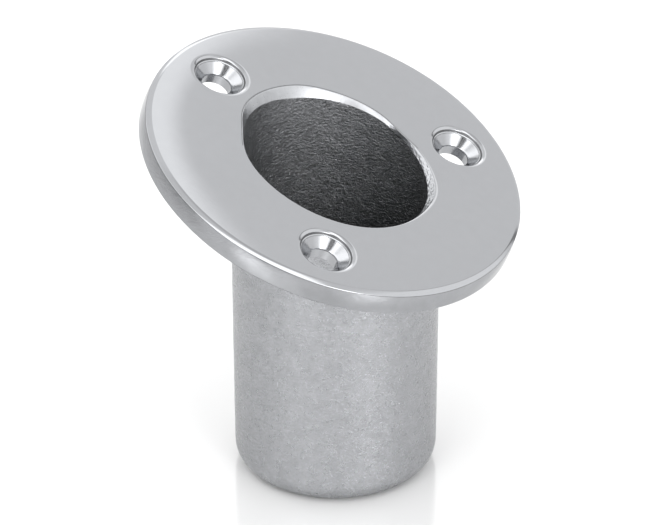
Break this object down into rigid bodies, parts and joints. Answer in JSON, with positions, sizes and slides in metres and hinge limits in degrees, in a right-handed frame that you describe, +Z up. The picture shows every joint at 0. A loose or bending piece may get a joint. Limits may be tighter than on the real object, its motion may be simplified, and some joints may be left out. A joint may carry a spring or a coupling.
{
  "type": "stanchion base",
  "caption": "Flush deck stanchion base: a polished round flange with countersunk screw holes, tilted across a closed tubular socket.",
  "frame": {"origin": "centre of the flat outside face of the closed foot", "axes": "+Z up the socket's axis, out of its mouth; +X towards the flange's lowest edge; the part is symmetric about the XZ plane"},
  "size_m": [0.0519, 0.055, 0.0581],
  "materials": {
    "polished_steel": "polished to a soft mirror",
    "cast_steel": "as cast, fine grain, satin",
    "ground_steel": "ground by hand, uneven"
  },
  "bodies": {
    "root": {"flange": "polished_steel", "mouth_weld": "ground_steel", "socket_end": "cast_steel", "socket_tube": "cast_steel"}
  },
  "joints": []
}
